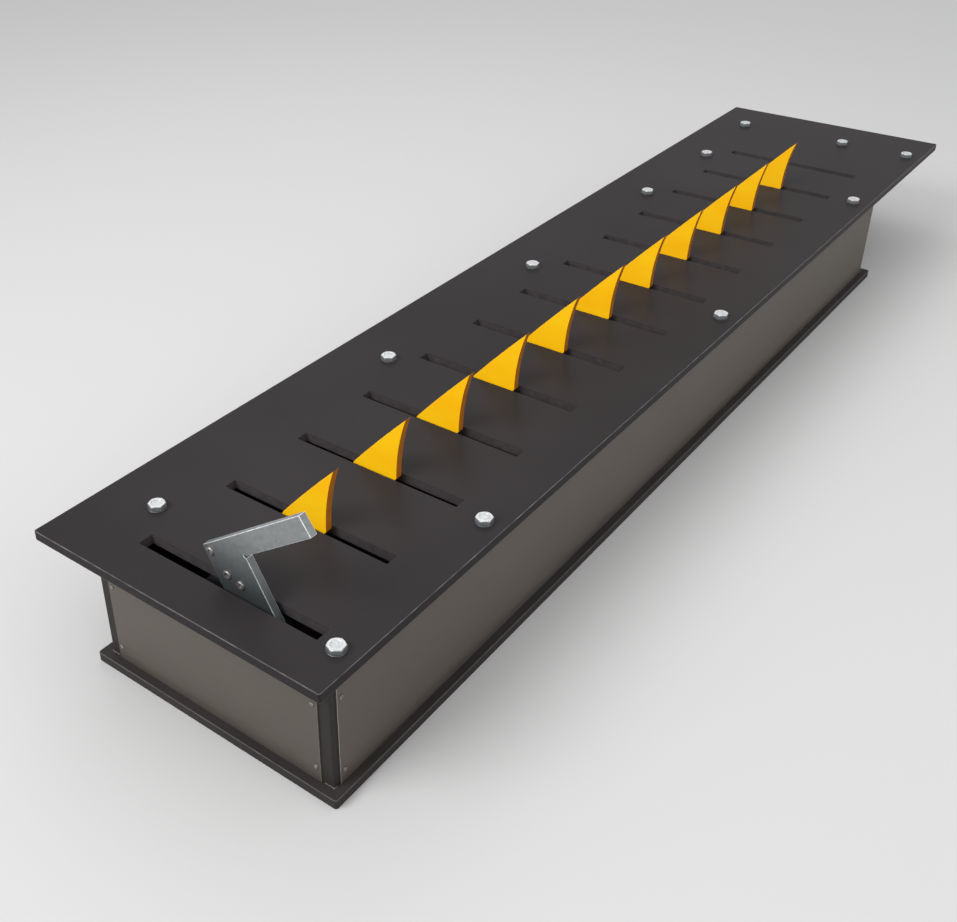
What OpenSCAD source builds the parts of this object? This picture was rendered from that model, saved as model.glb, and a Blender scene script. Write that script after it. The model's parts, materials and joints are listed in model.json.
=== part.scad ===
// One-way tyre spike strip: a deck plate with a row of spikes that tyres press down from one side.
// X runs along the row with the foot lever at -X, spike tips lean to -Y, +Z is up, ground at Z = 0.

/* [Deck plate] */
// Length of the deck plate
deck_l = 3030; // [2700:10:3400]
// Width of the deck plate
deck_w = 680; // [660:5:760]
// Thickness of the deck plate
deck_t = 20; // [14:1:24]
// Corner radius of the deck plate
deck_corner_r = 4; // [2:1:30]

/* [Housing] */
// Height of the side panels and corner posts
panel_h = 218; // [210:1:300]
// Thickness of the base plate
base_t = 20; // [12:1:26]
// How far the base plate stands out from the posts
base_lip = 20; // [12:1:40]
// Corner radius of the base plate
base_corner_r = 6; // [3:1:30]
// Deck overhang at the lever end
near_overhang = 46; // [30:1:48]
// Deck overhang at the other end
far_overhang = 496; // [440:2:508]
// Deck overhang on the side that the tips lean to
tip_side_overhang = 22; // [20:1:34]
// Deck overhang on the side that tyres come from
back_side_overhang = 109; // [90:1:112]
// Width of the frame tubes and corner posts
tube_w = 40; // [38:1:44]
// Depth of the frame tubes under the deck
tube_h = 25; // [24:1:34]
// Wall of the frame tubes
tube_wall = 3; // [2:0.5:4]
// Outer corner radius of the frame tubes
tube_corner_r = 4; // [2:0.5:6]
// Thickness of the side panels
panel_t = 3; // [2:0.5:4]
// Part of each corner post that the end panels leave bare
end_post_bare = 26; // [18:1:28]
// Part of each corner post that the long side panels leave bare
side_post_bare = 14; // [10:1:24]
// Distance from the far end of the deck to the middle of its end tube
end_tube_inset = 175; // [100:5:220]
// How far the end tube stands out past the frame
end_tube_out = 30; // [10:1:60]

/* [Slots] */
// Width of each spike slot
slot_w = 26; // [20:1:28]
// Reach of the slots towards the tyre side
slot_back = 158; // [140:1:165]
// Gap between the spike tips and the slot ends as they go down
slot_end_gap = 4; // [3:1:12]
// Width of the lever slot
lever_slot_w = 30; // [28:1:34]
// Reach of the lever slot towards the tip side
lever_slot_tip = 258; // [240:1:262]

/* [Spikes] */
// Distance from the lever end of the deck to the first spike
first_spike_x = 320; // [310:1:340]
// Distance from the last spike to the far end of the housing
last_spike_gap = 149; // [120:1:180]
// Thickness of the spike plates
spike_t = 16; // [12:1:18]
// Height of the spike tips over the deck
tip_h = 141; // [120:1:150]
// Sideways place of the spike tips
tip_y = 112; // [95:1:114]
// Foot of the sloping back at deck level
fin_back_y = 16; // [10:1:24]
// Foot of the hollow front edge at deck level
fin_front_y = 88; // [75:1:95]
// Bulge of the sloping back
back_bulge = 1.5; // [1:0.5:8]
// Hollow of the front edge
front_hollow = 6; // [3:0.5:10]

/* [Shaft] */
// Diameter of the spike shaft
shaft_d = 38; // [34:1:44]
// Gap between the shaft and the cross tubes over it
shaft_gap = 3; // [2:0.5:8]
// Sideways place of the spike shaft
shaft_y = 10; // [6:1:14]
// Radius of the eye of each spike round the shaft
eye_r = 36; // [32:1:38]
// Length of the welded sleeve at each spike
sleeve_l = 60; // [40:2:64]
// Radial wall of the welded sleeves
sleeve_wall = 8; // [5:1:10]
// Running clearance of the shaft in its bushes, on the radius
run_clear = 0.05; // [0.02:0.01:0.1]
// Radial wall of the bearing bushes
bush_wall = 8; // [5:1:9]
// Thickness of the bearing pedestals
pedestal_t = 14; // [10:1:20]
// Width of the two collars that hold the shaft lengthwise
collar_w = 14; // [8:1:16]

/* [Counterweight] */
// Diameter of the counterweight bar
weight_d = 40; // [36:1:42]
// Sideways distance from the shaft to the bar
weight_out = 70; // [68:1:74]
// Distance that the bar hangs below the shaft
weight_drop = 90; // [84:1:96]
// Plate left round the bar on each tail
tail_rim = 12; // [8:1:14]
// Thickness of the rubber buffers that the bar rests on
rest_buffer_t = 8; // [5:1:12]
// Turn of the spikes when they are pressed down, in degrees
press_turn = 48; // [44:1:48]

/* [Foot lever] */
// Distance from the lever end of the deck to the middle of the lever slot
lever_x = 105; // [102:1:108]
// Thickness of the lever plate
lever_t = 15; // [12:1:16]
// Distance from the shaft to the lever pivot
lever_pivot_gap = 146; // [138:1:148]
// Radius of the round foot of the lever
lever_foot_r = 51; // [44:1:51]
// Height of the elbow of the lever over the deck
elbow_h = 82; // [70:1:90]
// Length of the lever arm
arm_l = 254; // [220:2:280]
// Width of the lever arm
arm_w = 40; // [34:1:48]
// Rise of the lever arm in degrees
arm_rise = 35.3; // [28:0.1:40]
// Diameter of the pin that the lever turns on
lever_pin_d = 30; // [24:1:34]
// Thickness of the hub plate behind the lever
hub_plate_t = 7; // [5:1:8]
// Thickness of the two cheeks that hold the lever pin
cheek_t = 8; // [6:1:10]
// Length of the cranks that the link joins
crank_l = 62; // [61:1:66]
// Thickness of the crank on the shaft
crank_t = 12; // [8:1:14]
// Diameter of the link pins
link_pin_d = 16; // [12:1:18]
// Thickness of the link bar
link_t = 8; // [6:1:9]

/* [Fasteners] */
// Distance from the lever end to the first deck bolt on the tyre side
back_bolt_x = 182; // [160:1:220]
// Distance from the lever end to the first deck bolt on the tip side
tip_bolt_x = 91; // [80:1:140]
// Distance of the middle bolt of the end row from the middle of the deck
end_bolt_off = 97; // [0:1:160]
// Thread diameter of the deck bolts
bolt_d = 20; // [16:1:22]
// Width across the flats of the deck bolt heads
bolt_flats = 30; // [28:1:32]
// Height of the deck bolt heads
bolt_head_h = 10; // [8:0.5:14]
// Thickness of the deck bolt washers
washer_t = 2; // [1.5:0.5:4]
// Head diameter of the panel screws
panel_screw_d = 9; // [6:1:12]
// Head diameter of the lever bolts
lever_bolt_d = 18; // [14:1:20]

/* [Hidden] */
$fn = 64;
spike_count = 11;

// Clearances
rest_gap = 0.3;
weld_gap = 0.05;
slide_gap = 0.3;
hole_clear = 1;

// Levels from the ground up
panel_top = base_t + panel_h;
deck_under = panel_top + tube_h;
deck_top = deck_under + deck_t;

// Outline of the housing, measured over the posts
house_x0 = near_overhang - deck_l / 2;
house_x1 = deck_l / 2 - far_overhang;
house_y0 = tip_side_overhang - deck_w / 2;
house_y1 = deck_w / 2 - back_side_overhang;
end_tube_x = deck_l / 2 - end_tube_inset;
tube_row = tube_w / 2;

// Shaft, bar and lever pivot in the plane across the row: sideways, then up
shaft_r = shaft_d / 2;
shaft_at = [shaft_y, panel_top - shaft_gap - shaft_r];
weight_r = weight_d / 2;
weight_at = shaft_at + [weight_out, -weight_drop];
pivot_at = shaft_at - [lever_pivot_gap, 0];
crank_pin_at = shaft_at - [0, crank_l];
lever_crank_pin_at = pivot_at - [0, crank_l];
pressed_weight_at = shaft_at + turned([weight_out, -weight_drop]);
bush_r = shaft_r + run_clear + bush_wall;
pedestal_r = bush_r + 8;

// Places along the row, starting with the lever and its link
spike_pitch = (house_x1 - last_spike_gap - from_near(first_spike_x)) / (spike_count - 1);
lever_x0 = from_near(lever_x) - lever_t / 2 - 1.5;
hub_x0 = lever_x0 + lever_t;
link_x0 = hub_x0 + hub_plate_t + 1;
shaft_x0 = link_x0 + link_t + 1;
shaft_x1 = house_x1 - tube_w - 8;
first_pedestal_x = shaft_x0 + crank_t + 24 + pedestal_t / 2;
last_pedestal_x = shaft_x1 - pedestal_t / 2 - 6;
pedestal_xs = concat([first_pedestal_x], [for (gap = [2.5, 5.5, 8.5]) spike_x(gap)], [last_pedestal_x]);
cross_xs = [for (gap = [3.5, 7.5]) spike_x(gap)];

// Lever profile: sideways place, then height over the deck
elbow = [-23, elbow_h];
heel = elbow + [19, -13];
inner_corner_run = 72;
arm_dir = [-cos(arm_rise), sin(arm_rise)];
arm_down = [-sin(arm_rise), -cos(arm_rise)];
lever_bolt_spots = [for (from_elbow = [[1, -19], [-35, -52], [-65, -60]]) elbow + from_elbow];
inner_corner = elbow + inner_corner_run * arm_dir + arm_w * arm_down;
relief_r = 4;
lever_bolt_r = 5;
lever_eye_r = lever_pin_d / 2 + 8;
foot_bite = 0.1;
sleeve_front = 1;
sleeve_back = 24;

// Fastener sizes that follow the bolts
washer_r = bolt_flats / 2 + 2.8;
hex_r = bolt_flats / sqrt(3);
nut_h = 14;
bolt_grip = washer_t + deck_t + tube_wall + nut_h + 2;
screw_r = panel_screw_d / 4;
screw_inset = 10;
side_screw_rise = 28;
side_screw_drop = 26;
end_screw_rise = 32;
end_screw_drop = 43;

deck_colour = [0.24, 0.23, 0.235];
frame_colour = [0.22, 0.21, 0.21];
panel_colour = [0.42, 0.39, 0.36];
spike_colour = [0.96, 0.70, 0.03];
zinc_colour = [0.72, 0.73, 0.74];
steel_colour = [0.45, 0.45, 0.47];
bronze_colour = [0.70, 0.52, 0.28];
rubber_colour = [0.10, 0.10, 0.10];

function from_near(x) = x - deck_l / 2;
function spike_x(i) = from_near(first_spike_x + i * spike_pitch);
function spike_name(i) = str("spike_", i < 9 ? "0" : "", i + 1);
function unit_at(angle) = [cos(angle), sin(angle)];
function over_deck(spot) = [spot[0], deck_top + spot[1]];

// Where a point goes, seen from the shaft, when the spikes are pressed down
function turned(v) = [v[0] * cos(press_turn) - v[1] * sin(press_turn),
                      v[0] * sin(press_turn) + v[1] * cos(press_turn)];

// How far towards the tip side a spike tip reaches as it passes through the deck
tip_from_shaft = over_deck([-tip_y, tip_h]) - shaft_at;
tip_reach = sqrt(pow(norm(tip_from_shaft), 2) - pow(deck_under - shaft_at[1], 2)) - shaft_y;

// Point where a line from spot just touches a circle, on the side that turn picks
function touch(spot, centre, r, turn) =
    let (v = spot - centre, a = atan2(v[1], v[0]) + turn * acos(r / norm(v)))
    centre + r * unit_at(a);

// Points along a shallow arc that bulges to the right of the way from a to b, without b itself
function bow(a, b, bulge, steps = 8) =
    let (d = b - a, side = [d[1], -d[0]] / norm(d))
    [for (i = [0 : steps - 1]) let (t = i / steps) a + t * d + side * bulge * (1 - pow(2 * t - 1, 2))];

// Deck bolts on the long tubes, counted in spike gaps after the first, then the three on the end tube
back_y = house_y1 - tube_row;
tip_row_y = house_y0 + tube_row;
long_bolts = concat(
    [[from_near(back_bolt_x), back_y], [from_near(tip_bolt_x), tip_row_y]],
    [for (gap = [2.71, 5.64, 8.7, 10.63]) [spike_x(gap), back_y]],
    [for (gap = [0.9, 5.73, 10.02]) [spike_x(gap), tip_row_y]]);
end_bolts = [for (y = [back_y + tube_row, -end_bolt_off, tip_row_y]) [end_tube_x, y]];
all_bolts = concat(long_bolts, end_bolts);

module block(low, high) {
    translate(low) cube(high - low);
}

// Draws a flat shape of sideways and up sizes as a plate across the row
module across(x, t) {
    translate([x, 0, 0]) rotate([90, 0, 90]) linear_extrude(t) children();
}

module rod(x, l, at, r) {
    translate([x, at[0], at[1]]) rotate([0, 90, 0]) cylinder(h = l, r = r);
}

module pipe(x, l, at, r, wall) {
    difference() {
        rod(x, l, at, r + wall);
        rod(x - 1, l + 2, at, r);
    }
}

// Bar of plate with round ends between two circles
module strap(x, t, a, ra, b, rb) {
    d = b - a;
    lean = atan2(d[1], d[0]);
    open = acos((ra - rb) / norm(d));
    rod(x, t, a, ra);
    rod(x, t, b, rb);
    across(x, t) polygon([a, a + ra * unit_at(lean + open), b + rb * unit_at(lean + open), b,
                          b + rb * unit_at(lean - open), a + ra * unit_at(lean - open)]);
}

// Bore through a plate that starts at x
module bore(x, t, at, r) {
    rod(x - 1, t + 2, at, r);
}

module rounded_square(size, r) {
    translate([r, 0]) square([size[0] - 2 * r, size[1]]);
    translate([0, r]) square([size[0], size[1] - 2 * r]);
    for (x = [r, size[0] - r], y = [r, size[1] - r]) translate([x, y]) circle(r = r);
}

// Hollow section of the frame, drawn flat
module tube_section(size) {
    difference() {
        rounded_square(size, tube_corner_r);
        translate([tube_wall, tube_wall]) square(size - 2 * [tube_wall, tube_wall]);
    }
}

module tube_x(x0, x1, y) {
    translate([x0, y, panel_top]) rotate([90, 0, 90]) linear_extrude(x1 - x0)
        tube_section([tube_w, tube_h]);
}

module tube_y(y0, y1, x) {
    translate([x - tube_row, y1, panel_top]) rotate([90, 0, 0]) linear_extrude(y1 - y0)
        tube_section([tube_w, tube_h]);
}

module post(x, y) {
    color(frame_colour) translate([x, y, base_t]) linear_extrude(panel_h) tube_section([tube_w, tube_w]);
}

module bolt_holes(r) {
    for (at = all_bolts) translate([at[0], at[1], panel_top + tube_h / 2])
        cylinder(h = tube_h + deck_t, r = r);
}

module slot(x, w, tip, back) {
    block([x - w / 2, -tip, deck_under - 1], [x + w / 2, back, deck_top + 1]);
}

module deck_plate() color(deck_colour) difference() {
    translate([-deck_l / 2, -deck_w / 2, deck_under]) linear_extrude(deck_t)
        rounded_square([deck_l, deck_w], deck_corner_r);
    for (i = [0 : spike_count]) slot(spike_x(i), slot_w, tip_reach + slot_end_gap, slot_back);
    slot(from_near(lever_x), lever_slot_w, lever_slot_tip, slot_back);
    bolt_holes(bolt_d / 2 + hole_clear);
}

module deck_bolt() {
    translate([0, 0, deck_top + washer_t]) cylinder(h = bolt_head_h, r = hex_r, $fn = 6);
    translate([0, 0, deck_top + washer_t - bolt_grip]) cylinder(h = bolt_grip + 1, r = bolt_d / 2);
}

module deck_nut() {
    translate([0, 0, deck_under - tube_wall - nut_h]) difference() {
        cylinder(h = nut_h, r = hex_r, $fn = 6);
        translate([0, 0, -1]) cylinder(h = nut_h + 2, r = bolt_d / 2 + weld_gap);
    }
}

module deck_bolts() color(zinc_colour) {
    for (at = long_bolts) translate(at) deck_bolt();
    for (at = end_bolts) translate(at) rotate(90) deck_bolt();
}

module deck_washers() color(zinc_colour) for (at = all_bolts) {
    translate([at[0], at[1], deck_top]) difference() {
        cylinder(h = washer_t, r = washer_r);
        translate([0, 0, -1]) cylinder(h = washer_t + 2, r = bolt_d / 2 + hole_clear);
    }
}

module deck_nuts() color(zinc_colour) {
    for (at = long_bolts) translate(at) deck_nut();
    for (at = end_bolts) translate(at) rotate(90) deck_nut();
}

module long_tube(y) color(frame_colour) difference() {
    tube_x(house_x0, end_tube_x - tube_row, y);
    bolt_holes(bolt_d / 2 + hole_clear);
}

module end_tube(x) color(frame_colour) tube_y(house_y0 + tube_w, house_y1 - tube_w, x);

module tip_side_tube() long_tube(house_y0);
module back_side_tube() long_tube(house_y1 - tube_w);
module near_end_tube() end_tube(house_x0 + tube_row);
module far_end_tube() end_tube(house_x1 - tube_row);

module overhang_tube() color(frame_colour) difference() {
    tube_y(house_y0, house_y1 + end_tube_out, end_tube_x);
    bolt_holes(bolt_d / 2 + hole_clear);
}

module cross_tubes() for (x = cross_xs) end_tube(x);

module post_near_tip() post(house_x0, house_y0);
module post_near_back() post(house_x0, house_y1 - tube_w);
module post_far_tip() post(house_x1 - tube_w, house_y0);
module post_far_back() post(house_x1 - tube_w, house_y1 - tube_w);
module side_posts() for (x = cross_xs, y = [house_y0, house_y1 - tube_w]) post(x - tube_row, y);

module base_plate() color(frame_colour) translate([house_x0 - base_lip, house_y0 - base_lip, 0])
    linear_extrude(base_t) rounded_square([house_x1 - house_x0 + 2 * base_lip,
        house_y1 - house_y0 + 2 * base_lip], base_corner_r);

// Screws near the corners of the panels: where each meets the post, and the way it faces
side_screw_levels = [base_t + side_screw_rise, panel_top - side_screw_drop];
end_screw_levels = [base_t + end_screw_rise, panel_top - end_screw_drop];
side_screw_in = side_post_bare + screw_inset;
end_screw_in = end_post_bare + screw_inset;
long_screws = [for (x = [house_x0 + side_screw_in, house_x1 - side_screw_in], y = [house_y0, house_y1],
    z = side_screw_levels) [x, y, z]];
end_screws = [for (x = [house_x0, house_x1], y = [house_y0 + end_screw_in, house_y1 - end_screw_in],
    z = end_screw_levels) [x, y, z]];

module screw_places() {
    for (at = long_screws) translate(at) rotate([at[1] == house_y0 ? 90 : -90, 0, 0]) children();
    for (at = end_screws) translate(at) rotate([0, at[0] == house_x0 ? -90 : 90, 0]) children();
}

module panel(low, high) color(panel_colour) difference() {
    block(low, high);
    screw_places() translate([0, 0, -1]) cylinder(h = panel_t + 2, r = screw_r + 0.3);
}

module near_panel() panel([house_x0 - panel_t, house_y0 + end_post_bare, base_t],
    [house_x0, house_y1 - end_post_bare, panel_top]);
module far_panel() panel([house_x1, house_y0 + end_post_bare, base_t],
    [house_x1 + panel_t, house_y1 - end_post_bare, panel_top]);
module tip_side_panel() panel([house_x0 + side_post_bare, house_y0 - panel_t, base_t],
    [house_x1 - side_post_bare, house_y0, panel_top]);
module back_side_panel() panel([house_x0 + side_post_bare, house_y1, base_t],
    [house_x1 - side_post_bare, house_y1 + panel_t, panel_top]);

module panel_screws() color(zinc_colour) screw_places() {
    translate([0, 0, panel_t]) cylinder(h = 2.5, r = panel_screw_d / 2);
    cylinder(h = panel_t + 1, r = screw_r);
}

// Welded pedestal: a plate with a round head over a spread foot
module bearing_pedestals() color(frame_colour) for (x = pedestal_xs) {
    foot_side = pedestal_r - 2;
    x0 = x - pedestal_t / 2;
    difference() {
        union() {
            rod(x0, pedestal_t, shaft_at, pedestal_r);
            block([x0, shaft_y - foot_side, base_t], [x0 + pedestal_t, shaft_y + foot_side, shaft_at[1]]);
        }
        bore(x0, pedestal_t, shaft_at, bush_r + weld_gap);
    }
    block([x0 - 12, shaft_y - foot_side, base_t], [x0 + pedestal_t + 12, shaft_y + foot_side, base_t + 10]);
}

module bearing_bushes() color(bronze_colour) for (x = pedestal_xs)
    pipe(x - pedestal_t / 2 - 3, pedestal_t + 6, shaft_at, shaft_r + run_clear, bush_wall);

rest_top = weight_at[1] - weight_r - rest_gap;

module rest_stops() color(frame_colour) for (x = cross_xs)
    block([x - tube_row, weight_at[0] - tube_row, base_t],
          [x + tube_row, weight_at[0] + tube_row, rest_top - rest_buffer_t]);

module rest_buffers() color(rubber_colour) for (x = cross_xs)
    translate([x, weight_at[0], rest_top - rest_buffer_t]) cylinder(h = rest_buffer_t, r = 18);

module press_buffers() color(rubber_colour) {
    low = pressed_weight_at[1] + weight_r + rest_gap;
    for (x = cross_xs) translate([x, pressed_weight_at[0], low]) cylinder(h = panel_top - low, r = 16);
}

module shaft() color(steel_colour) rod(shaft_x0, shaft_x1 - shaft_x0, shaft_at, shaft_r);

module shaft_collars() color(steel_colour) {
    bush_half = pedestal_t / 2 + 3 + slide_gap;
    pipe(first_pedestal_x - bush_half - collar_w, collar_w, shaft_at, shaft_r + weld_gap, 10);
    pipe(first_pedestal_x + bush_half, collar_w, shaft_at, shaft_r + weld_gap, 10);
}

module spike_sleeves() color(steel_colour) {
    l = (sleeve_l - spike_t) / 2;
    for (i = [0 : spike_count - 1], x = [spike_x(i) - spike_t / 2 - l, spike_x(i) + spike_t / 2])
        pipe(x, l, shaft_at, shaft_r + weld_gap, sleeve_wall);
}

module fin(x) {
    back = over_deck([fin_back_y, 0]);
    front = over_deck([-fin_front_y, 0]);
    tip = over_deck([-tip_y, tip_h]);
    across(x, spike_t) polygon(concat(bow(back, tip, back_bulge), bow(tip, front, -front_hollow),
        [front, touch(front, shaft_at, eye_r, 1), shaft_at, touch(back, shaft_at, eye_r, -1)]));
}

module spike(i) color(spike_colour) {
    x = spike_x(i) - spike_t / 2;
    difference() {
        union() {
            fin(x);
            strap(x, spike_t, shaft_at, eye_r, weight_at, weight_r + tail_rim);
        }
        bore(x, spike_t, shaft_at, shaft_r + weld_gap);
        bore(x, spike_t, weight_at, weight_r + weld_gap);
    }
}

module counterweight_bar() color(steel_colour)
    rod(spike_x(0) - spike_t, spike_x(spike_count - 1) - spike_x(0) + 2 * spike_t, weight_at, weight_r);

module shaft_crank() color(steel_colour) difference() {
    strap(shaft_x0, crank_t, shaft_at, shaft_r + 14, crank_pin_at, link_pin_d / 2 + 10);
    bore(shaft_x0, crank_t, shaft_at, shaft_r + weld_gap);
    bore(shaft_x0, crank_t, crank_pin_at, link_pin_d / 2 + run_clear);
}

module lever_plate() color(zinc_colour) {
    arm_tip = elbow + arm_l * arm_dir;
    side_r = lever_foot_r - foot_bite;
    difference() {
        union() {
            across(lever_x0, lever_t) polygon(concat(
                [for (spot = [heel, elbow, arm_tip, arm_tip + arm_w * arm_down, inner_corner])
                    over_deck(spot)],
                [touch(over_deck(inner_corner), pivot_at, side_r, 1), pivot_at,
                 touch(over_deck(heel), pivot_at, side_r, -1)]));
            rod(lever_x0, lever_t, pivot_at, lever_foot_r);
        }
        bore(lever_x0, lever_t, pivot_at, lever_eye_r + weld_gap);
        bore(lever_x0, lever_t, over_deck(inner_corner), relief_r);
        for (spot = lever_bolt_spots) bore(lever_x0, lever_t, over_deck(spot), lever_bolt_r + weld_gap);
    }
}

// Long sleeve on the pin, with a plate that reaches up to the bolts and down to the link
hub_l = sleeve_front + lever_t + hub_plate_t + sleeve_back;

module lever_hub() color(steel_colour) difference() {
    union() {
        for (spot = [lever_bolt_spots[0], lever_bolt_spots[2]])
            strap(hub_x0, hub_plate_t, pivot_at, lever_foot_r - 10, over_deck(spot), lever_bolt_d / 2 + 1);
        strap(hub_x0, hub_plate_t, pivot_at, lever_foot_r - 10, lever_crank_pin_at, link_pin_d / 2 + 10);
        rod(lever_x0 - sleeve_front, hub_l, pivot_at, lever_eye_r);
    }
    bore(lever_x0 - sleeve_front, hub_l, pivot_at, lever_pin_d / 2 + run_clear);
    for (spot = lever_bolt_spots) bore(hub_x0, hub_plate_t, over_deck(spot), lever_bolt_r + weld_gap);
    bore(hub_x0, hub_plate_t, lever_crank_pin_at, link_pin_d / 2 + run_clear);
}

module lever_bolts() color(zinc_colour) for (spot = lever_bolt_spots) {
    grip = lever_t + hub_plate_t;
    rod(lever_x0 - 4, 4, over_deck(spot), lever_bolt_d / 2);
    rod(lever_x0 - 1, grip + 2, over_deck(spot), lever_bolt_r);
    translate([lever_x0 + grip, over_deck(spot)[0], over_deck(spot)[1]]) rotate([0, 90, 0])
        cylinder(h = 6, r = lever_bolt_d / 2, $fn = 6);
}

// Two cheeks with round heads carry the lever pin between them
cheek_xs = [lever_x0 - sleeve_front - slide_gap - cheek_t, lever_x0 - sleeve_front + hub_l + slide_gap];

module lever_bracket() color(frame_colour) for (x = cheek_xs) {
    head_r = lever_pin_d / 2 + 6;
    foot_side = lever_eye_r + 6;
    difference() {
        union() {
            rod(x, cheek_t, pivot_at, head_r);
            across(x, cheek_t) polygon([[pivot_at[0] - foot_side, base_t], [pivot_at[0] + foot_side, base_t],
                pivot_at + [head_r, 0], pivot_at - [head_r, 0]]);
        }
        bore(x, cheek_t, pivot_at, lever_pin_d / 2 + weld_gap);
    }
}

module lever_pin() color(steel_colour)
    rod(cheek_xs[0] - 4, cheek_xs[1] - cheek_xs[0] + cheek_t + 8, pivot_at, lever_pin_d / 2);

module link_bar() color(steel_colour) difference() {
    strap(link_x0, link_t, lever_crank_pin_at, link_pin_d / 2 + 8, crank_pin_at, link_pin_d / 2 + 8);
    for (at = [lever_crank_pin_at, crank_pin_at]) bore(link_x0, link_t, at, link_pin_d / 2 + weld_gap);
}

module link_pins() color(steel_colour) {
    rod(hub_x0 - 3, link_x0 + link_t + 4 - hub_x0, lever_crank_pin_at, link_pin_d / 2);
    rod(link_x0 - 3, shaft_x0 + crank_t + 6 - link_x0, crank_pin_at, link_pin_d / 2);
}

deck_plate();
deck_bolts();
deck_washers();
deck_nuts();
tip_side_tube();
back_side_tube();
near_end_tube();
far_end_tube();
overhang_tube();
cross_tubes();
post_near_tip();
post_near_back();
post_far_tip();
post_far_back();
side_posts();
base_plate();
near_panel();
far_panel();
tip_side_panel();
back_side_panel();
panel_screws();
bearing_pedestals();
bearing_bushes();
rest_stops();
rest_buffers();
press_buffers();
shaft();
shaft_collars();
spike_sleeves();
counterweight_bar();
shaft_crank();
lever_plate();
lever_hub();
lever_bolts();
lever_bracket();
lever_pin();
link_bar();
link_pins();
for (i = [0 : spike_count - 1]) {
    spike(i);
}
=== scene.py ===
import json
import math

import bmesh
import bpy
from mathutils import Matrix, Vector

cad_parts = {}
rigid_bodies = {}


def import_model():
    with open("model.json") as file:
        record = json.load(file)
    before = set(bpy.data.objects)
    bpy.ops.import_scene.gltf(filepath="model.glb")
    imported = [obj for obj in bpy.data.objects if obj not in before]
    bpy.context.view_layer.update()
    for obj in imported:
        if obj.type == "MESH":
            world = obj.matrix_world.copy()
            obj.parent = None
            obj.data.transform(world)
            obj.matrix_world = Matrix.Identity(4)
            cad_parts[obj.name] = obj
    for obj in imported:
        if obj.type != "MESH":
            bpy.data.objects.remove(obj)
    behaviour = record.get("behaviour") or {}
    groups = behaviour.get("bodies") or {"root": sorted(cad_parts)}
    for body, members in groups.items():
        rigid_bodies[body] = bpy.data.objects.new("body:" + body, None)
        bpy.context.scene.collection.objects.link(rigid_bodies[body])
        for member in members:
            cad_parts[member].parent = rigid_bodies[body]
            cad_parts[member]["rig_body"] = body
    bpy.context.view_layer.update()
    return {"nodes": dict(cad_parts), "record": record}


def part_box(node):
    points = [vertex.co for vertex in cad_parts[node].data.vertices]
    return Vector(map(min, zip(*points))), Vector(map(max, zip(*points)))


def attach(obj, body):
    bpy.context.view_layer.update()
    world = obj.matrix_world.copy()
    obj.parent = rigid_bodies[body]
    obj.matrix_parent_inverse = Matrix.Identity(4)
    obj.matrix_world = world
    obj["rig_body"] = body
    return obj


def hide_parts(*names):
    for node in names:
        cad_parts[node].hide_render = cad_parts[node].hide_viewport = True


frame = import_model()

nodes = frame["nodes"]
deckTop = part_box("deck_plate")[1].z
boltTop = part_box("deck_bolts")[1].z
mergeDistance = 0.00002
print("frame loaded", len(nodes), "nodes")


# camera: place, directions and lens
cameraView = {
    "place": (-2.4644, -1.2374, 1.5838),
    "right": (0.61444057, -0.78877412, -0.01726791),
    "forward": (0.66716504, 0.53114315, -0.52228131),
    "sensor": 36,
    "lens": 44.80,
    "shiftX": 0.0956,
    "shiftY": -0.0554,
}


def addCamera(v):
    cam = bpy.data.cameras.new("viewCamera")
    cam.sensor_width = v["sensor"]
    cam.lens = v["lens"]
    cam.shift_x = v["shiftX"]
    cam.shift_y = v["shiftY"]
    ob = bpy.data.objects.new("viewCamera", cam)
    right = Vector(v["right"]).normalized()
    back = -Vector(v["forward"]).normalized()
    up = back.cross(right)
    turn = Matrix((right, up, back)).transposed().to_4x4()
    ob.matrix_world = Matrix.Translation(v["place"]) @ turn
    bpy.context.scene.collection.objects.link(ob)
    bpy.context.scene.camera = ob


addCamera(cameraView)
print("camera placed")


# noise patterns: detail and roughness of each, and the span of values that is used
cloudNoise = (3, 0.5)
grainNoise = (2, 0.6)
streakNoise = (5, 0.6)
mottleNoise = (4, 0.6)
burrNoise = (4, 0.7)
noiseLow, noiseHigh = 0.3, 0.7
patchLow = 0.35
spangleLow, spangleHigh = 0.2, 0.8
# heights of the fine relief
paintRelief = 0.0004
metalRelief = 0.0003
# a pattern that isn't stretched
evenly = (1, 1, 1)
# sockets that share their names with others: two colours and their mix, a random number
mixFactor, mixFirst, mixSecond, mixResult = 0, 6, 7, 2
randomMax, randomValue = 3, 1


# small helpers for node trees
def newMaterial(name):
    m = bpy.data.materials.new(name)
    m.use_nodes = True
    t = m.node_tree
    shader = t.nodes["Principled BSDF"]
    return m, t, shader


def addNode(tree, kind, x=0, y=0, **values):
    n = tree.nodes.new(kind)
    n.location = (x, y)
    for key, value in values.items():
        setattr(n, key, value)
    return n


def stretched(tree, scale=evenly):
    coord = addNode(tree, "ShaderNodeTexCoord", -1400, 0)
    mapping = addNode(tree, "ShaderNodeMapping", -1200, 0)
    mapping.inputs["Scale"].default_value = scale
    tree.links.new(coord.outputs["Object"], mapping.inputs["Vector"])
    return mapping.outputs["Vector"]


def noiseOf(tree, vector, scale, kind, y=0):
    n = addNode(tree, "ShaderNodeTexNoise", -950, y)
    n.inputs["Scale"].default_value = scale
    n.inputs["Detail"].default_value, n.inputs["Roughness"].default_value = kind
    tree.links.new(vector, n.inputs["Vector"])
    return n.outputs["Fac"]


def spread(tree, value, low, high, toLow, toHigh, y=0):
    n = addNode(tree, "ShaderNodeMapRange", -700, y)
    limits = (("From Min", low), ("From Max", high), ("To Min", toLow), ("To Max", toHigh))
    for key, number in limits:
        n.inputs[key].default_value = number
    tree.links.new(value, n.inputs["Value"])
    return n.outputs["Result"]


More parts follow.
